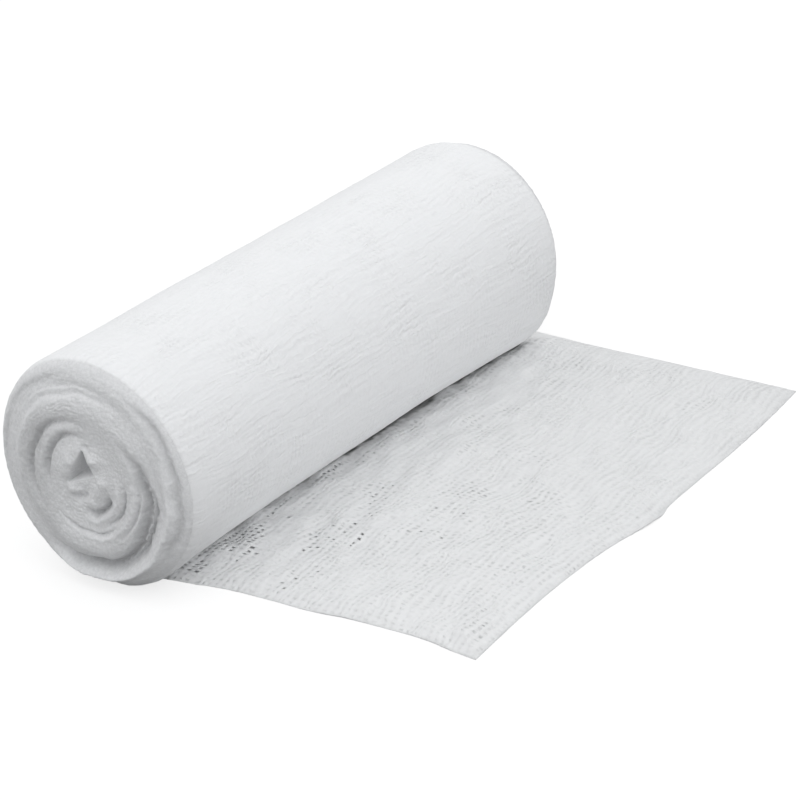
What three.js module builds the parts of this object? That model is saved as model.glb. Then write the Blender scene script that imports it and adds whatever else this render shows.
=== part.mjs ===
// Gauze bandage roll with its loose end laid out in front of it.
// Millimetres, +Z up. +X runs along the roll's axis, -Y towards the loose end.
// The origin is on the surface it stands on, under the middle of the roll.
import * as THREE from 'three';
import { mergeVertices } from 'three/addons/utils/BufferGeometryUtils.js';

// Driving dimensions
const clothWidth = 114.3;      // selvage to selvage, four and a half inches
const rollRadius = 21.3;
const footWidth = 9;           // the roll's own weight presses this strip flat
const looseReach = 69;         // from the middle of the roll to the cut edge
const looseShift = 8.2;        // the outer turns have crept this far along the axis
const sheetThickness = 1.0;    // six plies of open gauze, lightly bulked
const thinnestEdge = 0.5;      // where the sheet tucks in under the roll
const pieceGap = 0.35;
const rimInset = 1;            // the side starts this far in from the rim's plane
const sagAngle = -52;          // degrees around the axis: 0 is the front, 90 is up
const sagReach = 42;
const slumpAngle = 208;
const slumpReach = 45;
const sidesRound = 72;
const cellsAcross = 36;        // the sheet's cells, selvage to selvage
const cellsAlong = 22;         // and from the roll to the cut edge
const rowBias = 1.25;          // brings those rows closer together beside the roll

const axisHeight = Math.sqrt(rollRadius ** 2 - (footWidth / 2) ** 2);
const nearEnd = -clothWidth / 2;
const farEnd = clothWidth / 2;

// One turned ring of an end face a row, from the hollow core out to the rim.
// share is the ring's radius over the roll's; shiftFront and shiftUp move its centre;
// the last four say how far it stands proud of the rim's plane, in four directions.
const nearRings = [
  { share: 0.00, shiftFront: -0.4, shiftUp: 1.6, up: -7.5, front: -7.5, down: -7.5, back: -7.5 },
  { share: 0.06, shiftFront: -0.4, shiftUp: 1.6, up: -6.4, front: -6.0, down: -6.6, back: -6.2 },
  { share: 0.12, shiftFront: -0.3, shiftUp: 1.3, up: 1.4, front: 1.9, down: 1.2, back: 0.7 },
  { share: 0.20, shiftFront: 0.0, shiftUp: 0.6, up: 2.2, front: 2.6, down: 2.3, back: 2.6 },
  { share: 0.29, shiftFront: 0.3, shiftUp: 0.0, up: 0.9, front: 0.9, down: -0.7, back: 0.4 },
  { share: 0.37, shiftFront: 0.2, shiftUp: 0.0, up: 1.7, front: 2.1, down: 1.8, back: 1.3 },
  { share: 0.45, shiftFront: 0.0, shiftUp: 0.2, up: 0.5, front: 1.8, down: 1.2, back: 0.1 },
  { share: 0.54, shiftFront: 0.0, shiftUp: 0.2, up: 2.3, front: 2.4, down: 2.2, back: 1.8 },
  { share: 0.66, shiftFront: -0.5, shiftUp: 0.4, up: 3.0, front: 2.2, down: 2.0, back: 2.8 },
  { share: 0.73, shiftFront: -0.4, shiftUp: 0.3, up: 1.7, front: -2.0, down: -1.2, back: 1.6 },
  { share: 0.80, shiftFront: -0.3, shiftUp: 0.2, up: 1.5, front: 0.9, down: 1.3, back: 1.7 },
  { share: 0.88, shiftFront: 0.0, shiftUp: 0.0, up: -1.0, front: -1.2, down: 0.3, back: -0.5 },
  { share: 0.96, shiftFront: 0.0, shiftUp: 0.0, up: 0.2, front: 0.1, down: 0.1, back: 0.5 },
];
// The far face is dished the other way, because the outer turns stand past the inner ones.
const farRings = [
  { share: 0.96, shiftFront: 0.0, shiftUp: 0.0, up: 2.2, front: 0.4, down: 0.5, back: 1.2 },
  { share: 0.87, shiftFront: 0.0, shiftUp: 0.0, up: -0.9, front: -0.7, down: -0.9, back: -1.2 },
  { share: 0.78, shiftFront: 0.2, shiftUp: 0.2, up: -0.8, front: -1.3, down: -1.6, back: -0.9 },
  { share: 0.68, shiftFront: 0.3, shiftUp: 0.3, up: -2.9, front: -2.2, down: -2.4, back: -3.2 },
  { share: 0.57, shiftFront: 0.3, shiftUp: 0.2, up: -1.9, front: -2.5, down: -2.7, back: -2.1 },
  { share: 0.46, shiftFront: 0.2, shiftUp: 0.0, up: -3.6, front: -3.0, down: -2.9, back: -3.3 },
  { share: 0.34, shiftFront: 0.0, shiftUp: 0.0, up: -2.4, front: -2.8, down: -3.4, back: -2.9 },
  { share: 0.24, shiftFront: 0.0, shiftUp: -0.2, up: -3.8, front: -3.3, down: -2.7, back: -3.5 },
  { share: 0.13, shiftFront: 0.2, shiftUp: -0.4, up: -3.0, front: -3.6, down: -3.4, back: -2.9 },
  { share: 0.06, shiftFront: 0.3, shiftUp: -0.5, up: -9.5, front: -9.0, down: -9.2, back: -9.4 },
  { share: 0.00, shiftFront: 0.3, shiftUp: -0.5, up: -10.5, front: -10.5, down: -10.5, back: -10.5 },
];
// Sections along the side. share is the radius at the section over the roll's, sag how far
// the outer turn hangs out (or is drawn in) low on the front, slump how far the back flattens.
const sideSections = [
  { along: 0.000, share: 0.997, sag: -0.4, slump: 0.0 },
  { along: 0.012, share: 1.006, sag: -0.5, slump: 0.1 },
  { along: 0.060, share: 1.003, sag: -0.8, slump: 0.4 },
  { along: 0.160, share: 0.998, sag: -0.8, slump: 0.6 },
  { along: 0.280, share: 0.997, sag: -0.8, slump: 0.5 },
  { along: 0.400, share: 0.995, sag: -0.6, slump: 0.4 },
  { along: 0.520, share: 0.993, sag: -0.4, slump: 0.5 },
  { along: 0.640, share: 0.992, sag: -0.1, slump: 0.4 },
  { along: 0.760, share: 0.990, sag: 0.4, slump: 0.3 },
  { along: 0.870, share: 0.988, sag: 0.9, slump: 0.3 },
  { along: 0.950, share: 0.990, sag: 1.4, slump: 0.2 },
  { along: 0.990, share: 0.992, sag: 1.5, slump: 0.0 },
  { along: 1.000, share: 0.985, sag: 1.3, slump: 0.0 },
];

// The cut edge, near selvage to far selvage: how far it reaches past looseReach.
const cutEdge = [
  { across: 0.00, past: 0.6 },
  { across: 0.17, past: -0.4 },
  { across: 0.32, past: 0.0 },
  { across: 0.42, past: 1.5 },
  { across: 0.49, past: 3.0 },
  { across: 0.56, past: 1.7 },
  { across: 0.75, past: 1.5 },
  { across: 0.89, past: 1.2 },
  { across: 1.00, past: 0.0 },
];
// The selvages, from under the roll to the cut edge: how far each one strays outwards.
const selvages = [
  { along: 0.00, near: 2.4, far: -0.9 },
  { along: 0.10, near: 1.5, far: -0.9 },
  { along: 0.20, near: 0.2, far: -1.1 },
  { along: 0.34, near: -0.2, far: -1.3 },
  { along: 0.46, near: 0.4, far: -1.5 },
  { along: 0.54, near: -0.9, far: -1.7 },
  { along: 0.68, near: -1.3, far: -2.0 },
  { along: 0.84, near: -0.9, far: -2.4 },
  { along: 0.93, near: 0.1, far: -2.6 },
  { along: 1.00, near: 0.3, far: -2.6 },
];
// Soft folds of the laid sheet: a ridge from one point to another, and its size.
const folds = [
  { fromX: -22, fromY: -31, toX: 14, toY: -26, height: 1.1, halfWidth: 5.5 },
  { fromX: -49, fromY: -41, toX: -41, toY: -47, height: 1.0, halfWidth: 5.0 },
  { fromX: -49, fromY: -62, toX: -46, toY: -66, height: 1.3, halfWidth: 3.6 },
  { fromX: -30, fromY: -52, toX: -12, toY: -57, height: 0.7, halfWidth: 6.0 },
  { fromX: 3, fromY: -70, toX: 9, toY: -55, height: 0.9, halfWidth: 5.0 },
  { fromX: 30, fromY: -46, toX: 46, toY: -38, height: 0.8, halfWidth: 6.5 },
  { fromX: 62, fromY: -24, toX: 55, toY: -12, height: 0.7, halfWidth: 5.0 },
  { fromX: 64, fromY: -66, toX: 56, toY: -61, height: 0.8, halfWidth: 5.5 },
];

const mix = THREE.MathUtils.lerp;

// Reads one column of a table at a place between two of its rows, with a smooth run.
function readTable(rows, key, at, column) {
  let upper = rows.findIndex((row) => row[key] >= at);
  if (upper < 1) upper = upper === 0 ? 1 : rows.length - 1;
  const low = rows[upper - 1];
  const high = rows[upper];
  const share = THREE.MathUtils.smoothstep(at, low[key], high[key]);
  return mix(low[column], high[column], share);
}

// Blends a ring's four heights around the circle; angle 0 is the front, a quarter turn is up.
function heightAround(ring, angle) {
  const upright = Math.sin(angle);
  const level = Math.cos(angle);
  const vertical = upright > 0 ? ring.up : ring.down;
  const horizontal = level > 0 ? ring.front : ring.back;
  return vertical * upright ** 2 + horizontal * level ** 2;
}

// A smooth hump around one angle, one at its middle and nothing past its reach, in degrees.
function hump(angle, middle, reach) {
  const turn = angle - THREE.MathUtils.degToRad(middle);
  const away = THREE.MathUtils.radToDeg(Math.atan2(Math.sin(turn), Math.cos(turn))) / reach;
  return Math.abs(away) < 1 ? (1 - away ** 2) ** 2 : 0;
}

// The outer turn's radius at a place along the axis and an angle around it.
function outerRadius(along, angle) {
  const radius = rollRadius * readTable(sideSections, 'along', along, 'share');
  const sag = readTable(sideSections, 'along', along, 'sag');
  const slump = readTable(sideSections, 'along', along, 'slump');
  return radius + sag * hump(angle, sagAngle, sagReach) - slump * hump(angle, slumpAngle, slumpReach);
}

// Puts a point of the roll in its place, pressed flat where the roll stands.
function placeOnRoll(point, x, radius, angle, ring) {
  const front = radius * Math.cos(angle) + (ring ? ring.shiftFront : 0);
  const up = radius * Math.sin(angle) + (ring ? ring.shiftUp : 0);
  point.set(x, -front, Math.max(axisHeight + up, 0));
}

// The roll: one closed body, turned from a profile and then pushed out of round.
function buildRoll() {
  const rows = [
    ...nearRings.map((ring) => ({ ring, end: nearEnd, outwards: -1, along: 0 })),
    ...sideSections.map((section) => ({ along: section.along })),
    ...farRings.map((ring) => ({ ring, end: farEnd, outwards: 1, along: 1 })),
  ].reverse();                   // run this way, the turned faces point outwards
  const profile = rows.map((row, index) => {
    const share = row.ring ? row.ring.share : 1;
    return new THREE.Vector2(share * rollRadius, index);
  });
  const geometry = new THREE.LatheGeometry(profile, sidesRound);
  const position = geometry.attributes.position;
  const point = new THREE.Vector3();
  for (let i = 0; i < position.count; i++) {
    // the lathe turns column by column, each one a copy of the whole profile
    const row = rows[i % rows.length];
    const angle = 2 * Math.PI * (Math.floor(i / rows.length) % sidesRound) / sidesRound;
    const radius = outerRadius(row.along, angle);
    if (row.ring) {
      const x = row.end + row.outwards * heightAround(row.ring, angle);
      placeOnRoll(point, x, radius * row.ring.share, angle, row.ring);
    } else {
      const x = mix(nearEnd + rimInset, farEnd - rimInset, row.along);
      placeOnRoll(point, x, radius, angle);
    }
    position.setXYZ(i, point.x, point.y, point.z);
  }
  return mergeByPlace(geometry);
}

// Height of the roll's underside over a point of the floor in front of its foot.
function undersideAt(x, y) {
  const along = THREE.MathUtils.clamp((x - nearEnd) / clothWidth, 0, 1);
  let angle = Math.atan2(-axisHeight, -y);
  for (let step = 0; step < 8; step++) {
    angle = -Math.acos(Math.min(-y / outerRadius(along, angle), 1));
  }
  return axisHeight + outerRadius(along, angle) * Math.sin(angle);
}

// How far the sheet lies off the floor: the sum of its folds.
function liftAt(x, y) {
  let lift = 0;
  for (const fold of folds) {
    const alongX = fold.toX - fold.fromX;
    const alongY = fold.toY - fold.fromY;
    const dot = (x - fold.fromX) * alongX + (y - fold.fromY) * alongY;
    const share = THREE.MathUtils.clamp(dot / (alongX ** 2 + alongY ** 2), 0, 1);
    const away = Math.hypot(x - fold.fromX - share * alongX, y - fold.fromY - share * alongY);
    if (away < fold.halfWidth) lift += fold.height * (1 - (away / fold.halfWidth) ** 2) ** 2;
  }
  return lift;
}

// Where the sheet starts: as far in under the roll as there is room for its edge.
function startAt(x) {
  let y = -footWidth / 2;
  while (undersideAt(x, y) - pieceGap < thinnestEdge) y -= 0.1;
  return y;
}

// The loose end: a thin sheet that leaves the roll at its foot and lies on the surface.
function buildLooseEnd() {
  const nearSelvage = nearEnd + looseShift;
  const farSelvage = farEnd + looseShift;
  const acrossTo = (across, along) => mix(
    nearSelvage - readTable(selvages, 'along', along, 'near'),
    farSelvage + readTable(selvages, 'along', along, 'far'),
    across,
  );
  const geometry = new THREE.BoxGeometry(1, 1, 1, cellsAcross, cellsAlong, 1);
  const position = geometry.attributes.position;
  for (let i = 0; i < position.count; i++) {
    const across = position.getX(i) + 0.5;
    const along = (0.5 - position.getY(i)) ** rowBias;
    const isTop = position.getZ(i) > 0;
    const cutY = -looseReach - readTable(cutEdge, 'across', across, 'past');
    const y = mix(startAt(acrossTo(across, 0)), cutY, along);
    const x = acrossTo(across, along);
    const lift = liftAt(x, y);
    const room = -y < rollRadius ? undersideAt(x, y) - pieceGap : Infinity;
    position.setXYZ(i, x, y, isTop ? Math.min(lift + sheetThickness, room) : lift);
  }
  return mergeByPlace(geometry);
}

// Leaves only the places, with the doubled vertices of seams and poles made one.
function mergeByPlace(geometry) {
  geometry.deleteAttribute('normal');
  geometry.deleteAttribute('uv');
  const merged = mergeVertices(geometry, 1e-4);
  const index = merged.index.array;
  const kept = [];
  for (let i = 0; i < index.length; i += 3) {
    const [a, b, c] = [index[i], index[i + 1], index[i + 2]];
    if (a !== b && b !== c && c !== a) kept.push(a, b, c);
  }
  merged.setIndex(kept);
  merged.computeVertexNormals();
  return merged;
}

const cotton = { color: 0xeff0f2, roughness: 0.95, metalness: 0 };
const roll = new THREE.Mesh(buildRoll(), new THREE.MeshStandardMaterial(cotton));
roll.name = 'gauze_roll';
const looseEnd = new THREE.Mesh(buildLooseEnd(), new THREE.MeshStandardMaterial(cotton));
looseEnd.name = 'loose_end';

const bandage = new THREE.Group();
bandage.add(roll, looseEnd);

export default bandage;
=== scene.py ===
import math

import bpy
import bmesh
import numpy as np
from mathutils import Matrix, Vector
from mathutils.bvhtree import BVHTree


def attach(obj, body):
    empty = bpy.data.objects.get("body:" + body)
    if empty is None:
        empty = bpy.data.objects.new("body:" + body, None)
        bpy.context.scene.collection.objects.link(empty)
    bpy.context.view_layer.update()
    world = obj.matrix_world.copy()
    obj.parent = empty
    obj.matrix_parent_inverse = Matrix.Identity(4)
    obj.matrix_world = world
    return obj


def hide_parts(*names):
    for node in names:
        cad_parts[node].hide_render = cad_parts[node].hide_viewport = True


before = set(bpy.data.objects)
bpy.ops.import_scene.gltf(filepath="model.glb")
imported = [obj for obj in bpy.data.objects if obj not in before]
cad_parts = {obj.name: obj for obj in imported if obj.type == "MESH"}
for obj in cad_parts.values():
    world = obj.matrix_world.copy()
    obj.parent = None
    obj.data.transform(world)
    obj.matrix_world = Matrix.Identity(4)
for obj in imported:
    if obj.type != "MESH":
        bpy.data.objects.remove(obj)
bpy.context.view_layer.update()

mm = 0.001
turn = 2 * math.pi
body = "root"                     # the part has no joints, so it has one body


def wavyField(seed, shortest, longest, count=30, stretch=(1, 1, 1)):
    # a smooth random field in space with unit spread, a sum of plane waves
    rng = np.random.default_rng(seed)
    heading = rng.normal(size=(count, 3))
    heading /= np.linalg.norm(heading, axis=1, keepdims=True)
    length = shortest * (longest / shortest) ** rng.random(count)
    waves = turn * heading / length[:, None] / np.array(stretch)
    phases = rng.uniform(0, turn, count)

    def field(points):
        total = np.zeros(points.shape[:-1])
        for wave, phase in zip(waves, phases):
            total += np.sin(points @ wave + phase)
        return total * math.sqrt(2 / count)
    return field


def easeBetween(low, high, value):
    share = np.clip((value - low) / (high - low), 0, 1)
    return share * share * (3 - 2 * share)


def namedRows(names, *rows):
    # a table's rows, each value under the name of its column
    return [dict(zip(names, row)) for row in rows]


def readTable(rows, key, at, column):
    # one column of a table, as a smooth curve through its rows
    keys = np.array([row[key] for row in rows], float)
    values = np.array([row[column] for row in rows], float)
    slopes = np.gradient(values, keys)
    index = np.clip(np.searchsorted(keys, at) - 1, 0, len(keys) - 2)
    span = keys[index + 1] - keys[index]
    share = np.clip((at - keys[index]) / span, 0, 1)
    ease = easeBetween(0, 1, share)
    leave = share * (1 - share) ** 2 * span * slopes[index]
    arrive = share * share * (share - 1) * span * slopes[index + 1]
    return values[index] * (1 - ease) + values[index + 1] * ease + leave + arrive


def readGrid(grid, row, column):
    # a value between the four nearest of a grid, whose columns may run round a circle
    low, left = np.floor(row).astype(int), np.floor(column)
    c0 = left.astype(int) % grid.shape[1]
    c1 = (c0 + 1) % grid.shape[1]
    up, over = row - low, column - left
    before = grid[low, c0] * (1 - over) + grid[low, c1] * over
    after = grid[low + 1, c0] * (1 - over) + grid[low + 1, c1] * over
    return before * (1 - up) + after * up


def keepOnPoints(mesh, name, values):
    # a number for each vertex, which a material can read by name
    layer = mesh.attributes.new(name, "FLOAT", "POINT")
    layer.data.foreach_set("value", np.asarray(values, np.float32).ravel())


def addObject(name, data):
    made = bpy.data.objects.new(name, data)
    bpy.context.scene.collection.objects.link(made)
    return made


def addPiece(name, mesh, material, node):
    piece = addObject(name, mesh)
    mesh.polygons.foreach_set("use_smooth", [True] * len(mesh.polygons))
    mesh.materials.append(material)
    mesh.update()
    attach(piece, body)
    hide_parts(node)
    return piece


def quadMesh(name, places, faces, spots):
    # spots is the place in the weave, in yarns, of each corner of each face, kept as the UV map
    mesh = bpy.data.meshes.new(name)
    mesh.vertices.add(len(places))
    mesh.vertices.foreach_set("co", places.astype(np.float32).ravel())
    mesh.loops.add(faces.size)
    mesh.loops.foreach_set("vertex_index", faces.astype(np.int32).ravel())
    mesh.polygons.add(len(faces))
    mesh.polygons.foreach_set("loop_start", (4 * np.arange(len(faces))).astype(np.int32))
    mesh.update(calc_edges=True)
    weave = mesh.uv_layers.new(name="weave")
    weave.data.foreach_set("uv", spots.astype(np.float32).ravel())
    return mesh


def wovenSheet(name, outer, inner, lattice, solid, kept, yarnsRound=0):
    # a closed thin sheet between two grids of points; solid says which of the grid's cells are
    # cloth, kept holds further numbers for its points, and yarnsRound is for a sheet that meets itself
    rows, columns = outer.shape[:2]
    steps = columns if yarnsRound else columns - 1
    index = np.arange(rows * columns).reshape(rows, columns)
    beyond = np.roll(index, -1, axis=1)
    corners = [index[:-1, :steps], beyond[:-1, :steps], beyond[1:, :steps], index[1:, :steps]]
    corners = np.stack(corners, -1)
    upper = corners[solid]
    faces = [upper, upper[:, ::-1] + rows * columns]
    around = np.pad(solid, ((1, 1), (0, 0)))
    around = np.pad(around, ((0, 0), (1, 1)), mode="wrap" if yarnsRound else "constant")
    for stepRow, stepColumn, one, two in ((0, -1, 3, 0), (0, 1, 1, 2), (-1, 0, 0, 1), (1, 0, 2, 3)):
        # a wall stands wherever cloth has none beside it
        beside = around[1 + stepRow:rows + stepRow, 1 + stepColumn:steps + 1 + stepColumn]
        edge = corners[solid & ~beside]
        wall = np.stack([edge[:, two], edge[:, one], edge[:, one], edge[:, two]], -1)
        faces.append(wall + np.array([0, 0, 1, 1]) * rows * columns)
    faces = np.concatenate(faces)
    places = np.concatenate([outer.reshape(-1, 3), inner.reshape(-1, 3)])
    used = np.unique(faces)
    renumbered = np.zeros(len(places), int)
    renumbered[used] = np.arange(len(used))
    faces = renumbered[faces]
    spots = np.concatenate([lattice.reshape(-1, 2)] * 2)[used][faces]
    if yarnsRound:
        # the last column's faces run on past the seam instead of back to its start
        along = spots[..., 1]
        jump = along.max(axis=1) - along.min(axis=1) > 0.5 * along.max()
        spots[..., 1] = np.where(jump[:, None] & (along < 1), along + yarnsRound, along)
    mesh = quadMesh(name, places[used], faces, spots)
    for key, values in kept.items():
        keepOnPoints(mesh, key, np.concatenate([values.ravel()] * 2)[used])
    return mesh


def giveValue(tree, socket, value):
    # a plain number, or another node's output
    if isinstance(value, (int, float)):
        socket.default_value = value
    else:
        tree.links.new(value, socket)


def addMath(tree, operation, *values):
    node = tree.nodes.new("ShaderNodeMath")
    node.operation = operation
    for socket, value in zip(node.inputs, values):
        giveValue(tree, socket, value)
    return node.outputs[0]


def addRange(tree, value, low, high, least):
    # from a least level at the low value up to 1 at the high one
    node = tree.nodes.new("ShaderNodeMapRange")
    node.inputs["From Min"].default_value = low
    node.inputs["From Max"].default_value = high
    giveValue(tree, node.inputs["To Min"], least)
    tree.links.new(value, node.inputs["Value"])
    return node.outputs[0]


def addScale(tree, colour, level):
    node = tree.nodes.new("ShaderNodeVectorMath")
    node.operation = "SCALE"
    tree.links.new(colour, node.inputs[0])
    tree.links.new(level, node.inputs["Scale"])
    return node.outputs[0]


def mixShaders(tree, *inputs):
    # the share of the second shader, then the two shaders
    node = tree.nodes.new("ShaderNodeMixShader")
    for socket, output in zip(node.inputs, inputs):
        tree.links.new(output, socket)
    return node.outputs[0]


def addNoise(tree, place, scale, detail, roughness=0.5, distortion=0.0):
    noise = tree.nodes.new("ShaderNodeTexNoise")
    giveValue(tree, noise.inputs["Scale"], scale)
    noise.inputs["Detail"].default_value = detail
    noise.inputs["Roughness"].default_value = roughness
    noise.inputs["Distortion"].default_value = distortion
    tree.links.new(place, noise.inputs["Vector"])
    return noise


def addStretchedNoise(tree, place, scale, detail, distortion=0.0):
    # a noise in the weave map, with its own scale along either yarn
    stretch = tree.nodes.new("ShaderNodeMapping")
    stretch.inputs["Scale"].default_value = (*scale, 1)
    tree.links.new(place, stretch.inputs["Vector"])
    return addNoise(tree, stretch.outputs[0], 1.0, detail, distortion=distortion).outputs[0]


def addPatches(tree, place, scale, low, high, least):
    # where an effect shows, in soft patches
    return addRange(tree, addStretchedNoise(tree, place, scale, 1), low, high, least)


def startGroup(name, values, outputs):
    group = bpy.data.node_groups.new(name, "ShaderNodeTree")
    for key, value in values.items():
        socket = group.interface.new_socket(key, in_out="INPUT", socket_type="NodeSocketFloat")
        socket.default_value = value
    for key in outputs:
        group.interface.new_socket(key, in_out="OUTPUT", socket_type="NodeSocketFloat")
    return group


def makeFibreGroup():
    # fine cotton fuzz: a soft mottle, and a height for bump
    values = {"mottleSize": 900.0, "fuzzSize": 5200.0, "mottleDepth": 0.05}
    group = startGroup("cottonFibres", values, ["height"])
    colour = group.interface.new_socket("colour", in_out="INPUT", socket_type="NodeSocketColor")
    colour.default_value = (0.86, 0.865, 0.875, 1)
    group.interface.new_socket("shaded", in_out="OUTPUT", socket_type="NodeSocketColor")
    takes = group.nodes.new("NodeGroupInput").outputs
    gives = group.nodes.new("NodeGroupOutput").inputs
    place = group.nodes.new("ShaderNodeTexCoord").outputs["Object"]
    mottle = addNoise(group, place, takes["mottleSize"], 4, roughness=0.6).outputs[0]
    fuzz = addNoise(group, place, takes["fuzzSize"], 3, roughness=0.7, distortion=1.2).outputs[0]
    lowest = addMath(group, "SUBTRACT", 1.0, takes["mottleDepth"])
    level = addRange(group, mottle, 0.3, 0.7, lowest)
    group.links.new(addScale(group, takes["colour"], level), gives["shaded"])
    group.links.new(addMath(group, "ADD", mottle, fuzz), gives["height"])
    return group


def makeWeaveGroup():
    # plain weave in the weave map's own yarns: its height, its gaps, and the lines between the wefts
    values = {"warpWidth": 0.36, "weftWidth": 0.34, "offset": 0.0, "wander": 0.6, "drift": 0.0, "scale": 1.0}
    group = startGroup("plainWeave", values, ["height", "gap", "between"])
    links = group.links
    takes = group.nodes.new("NodeGroupInput").outputs
    gives = group.nodes.new("NodeGroupOutput").inputs
    place = group.nodes.new("ShaderNodeTexCoord").outputs["UV"]
    apart = group.nodes.new("ShaderNodeSeparateXYZ")
    links.new(place, apart.inputs[0])
    elsewhere = group.nodes.new("ShaderNodeVectorMath")
    elsewhere.operation = "ADD"
    links.new(place, elsewhere.inputs[0])
    links.new(addMath(group, "MULTIPLY", takes["offset"], 70), elsewhere.inputs[1])
    sways = []
    for size, detail in ((0.60, 2), (0.07, 1)):     # each yarn's own waves, and the whole ply's drift
        tones = group.nodes.new("ShaderNodeSeparateColor")
        links.new(addNoise(group, elsewhere.outputs[0], size, detail).outputs["Color"], tones.inputs[0])
        sways.append(tones)
    profiles, turns = [], []
    for axis, width in ((0, "warpWidth"), (1, "weftWidth")):
        moved = addMath(group, "MULTIPLY_ADD", apart.outputs[axis], takes["scale"], takes["offset"])
        for tones, reach in zip(sways, ("wander", "drift")):
            sway = addMath(group, "SUBTRACT", tones.outputs[axis], 0.5)
            moved = addMath(group, "MULTIPLY_ADD", sway, takes[reach], moved)
        near = addMath(group, "PINGPONG", moved, 0.5)
        share = addMath(group, "DIVIDE", near, takes[width])
        bulge = addMath(group, "SUBTRACT", 1.0, addMath(group, "MULTIPLY", share, share))
        profiles.append(addMath(group, "MAXIMUM", bulge, 0.0))
        turns.append(addMath(group, "COSINE", addMath(group, "MULTIPLY", moved, math.pi)))
    crossing = addMath(group, "MULTIPLY", turns[0], turns[1])
    warp = addMath(group, "MULTIPLY", profiles[0], addMath(group, "MULTIPLY_ADD", crossing, 0.25, 0.65))
    weft = addMath(group, "MULTIPLY", profiles[1], addMath(group, "MULTIPLY_ADD", crossing, -0.25, 0.75))
    links.new(addMath(group, "SMOOTH_MAX", warp, weft, 0.15), gives["height"])
    onWeft = addMath(group, "MULTIPLY", turns[1], turns[1])
    links.new(addMath(group, "SUBTRACT", 1.0, onWeft), gives["between"])
    covered = addMath(group, "MULTIPLY", addMath(group, "MAXIMUM", profiles[0], profiles[1]), 1.5)
    links.new(addMath(group, "SUBTRACT", 1.0, addMath(group, "MINIMUM", covered, 1.0)), gives["gap"])
    return group


def readPoints(tree, name):
    node = tree.nodes.new("ShaderNodeAttribute")
    node.attribute_name = name
    return node.outputs["Fac"]


def dimBy(material, level):
    # the cloth's colour times a level
    tree = material.node_tree
    colour = addScale(tree, tree.nodes["fibres"].outputs["shaded"], level)
    tree.links.new(colour, tree.nodes["Principled BSDF"].inputs["Base Color"])


weavePlies = namedRows(     # three plies, each moved and swaying on its own
    ("offset", "wander", "drift", "scale"),
    (0.0, 0.8, 0.0, 1.0), (0.43, 1.2, 5.0, 1.02), (0.81, 1.0, 7.0, 0.97),
)


def addWeave(material, cloth):
    # three plies of weave, the lower ones seen in the gaps of the upper as bump and painted shade, and
    # streaks along the wefts
    tree = material.node_tree
    nodes, links = tree.nodes, tree.links
    place = nodes.new("ShaderNodeTexCoord").outputs["UV"]
    plies = []
    for values in weavePlies:
        ply = nodes.new("ShaderNodeGroup")
        ply.node_tree = weaveGroup
        for name, value in values.items():
            ply.inputs[name].default_value = value
        plies.append(ply.outputs)
    shown = addPatches(tree, place, (0.10, 0.13), 0.42, 0.64, cloth["leastShown"])
    height = addMath(tree, "MULTIPLY_ADD", plies[1]["height"], 0.5, plies[0]["height"])
    height = addMath(tree, "MULTIPLY", height, shown)
    streaks = addStretchedNoise(tree, place, cloth["streakScale"], 1.2, 0.5)
    height = addMath(tree, "MULTIPLY_ADD", streaks, cloth["streaks"], height)
    bump = nodes.new("ShaderNodeBump")
    bump.inputs["Strength"].default_value = cloth["strength"]
    bump.inputs["Distance"].default_value = cloth["relief"]
    links.new(height, bump.inputs["Height"])
    links.new(bump.outputs[0], nodes["fuzz"].inputs["Normal"])
    # painted shade in the gaps, darkest where the plies lie gap over gap over gap, and where the cloth is
    # open
    depth = addMath(tree, "MULTIPLY", shown, cloth["gapDepth"])
    if cloth["opens"]:
        depth = addMath(tree, "MULTIPLY_ADD", readPoints(tree, "open"), cloth["openDepth"], depth)
    deeper = addMath(tree, "MULTIPLY_ADD", plies[2]["gap"], 0.6, 0.4)
    below = addMath(tree, "MULTIPLY", plies[1]["gap"], deeper)
    below = addMath(tree, "MULTIPLY_ADD", below, 0.65, 0.35)
    dim = addMath(tree, "MULTIPLY", addMath(tree, "MULTIPLY", plies[0]["gap"], below), depth)
    dim = addMath(tree, "MULTIPLY", dim, addPatches(tree, place, (0.55, 0.7), 0.36, 0.62, 0.15))
    level = addMath(tree, "SUBTRACT", 1.0, dim)
    # painted shade between the wefts too, deepest where the seam's painted shade lies and where the cloth is
    # open
    paintedShading = readPoints(tree, "paintedShading")
    lines = addMath(tree, "MULTIPLY_ADD", plies[1]["between"], 0.7, 0.3)
    lines = addMath(tree, "MULTIPLY", plies[0]["between"], lines)
    lineDepth = addMath(tree, "MULTIPLY", addPatches(tree, place, (0.08, 0.15), 0.36, 0.62, 0.25),
                        addPatches(tree, place, (0.24, 0.8), 0.38, 0.60, 0.30))
    lineDepth = addMath(tree, "MULTIPLY", lineDepth, cloth["lineDepth"])
    shaded = addMath(tree, "MAXIMUM", addMath(tree, "SUBTRACT", paintedShading, cloth["outwardShade"]), 0.0)
    lineDepth = addMath(tree, "MULTIPLY_ADD", shaded, 0.8, lineDepth)
    if cloth["opens"]:
        lineDepth = addMath(tree, "MULTIPLY_ADD", readPoints(tree, "open"), 0.09, lineDepth)
    lines = addMath(tree, "MULTIPLY", lines, lineDepth)
    level = addMath(tree, "MULTIPLY", level, addMath(tree, "SUBTRACT", 1.0, lines))
    # and the painted shading kept on the points darkens the whole colour
    dark = addMath(tree, "MULTIPLY", paintedShading, cloth["paintedShadingDepth"])
    dimBy(material, addMath(tree, "MULTIPLY", level, addMath(tree, "SUBTRACT", 1.0, dark)))


def addPaintedShading(material, depth):
    # painted shade and painted highlight: the cloth's colour is darkened by the number kept on its points,
    # and lightened where that number is below nought
    tree = material.node_tree
    dark = addMath(tree, "MULTIPLY", readPoints(tree, "paintedShading"), depth)
    dimBy(material, addMath(tree, "SUBTRACT", 1.0, dark))


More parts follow.
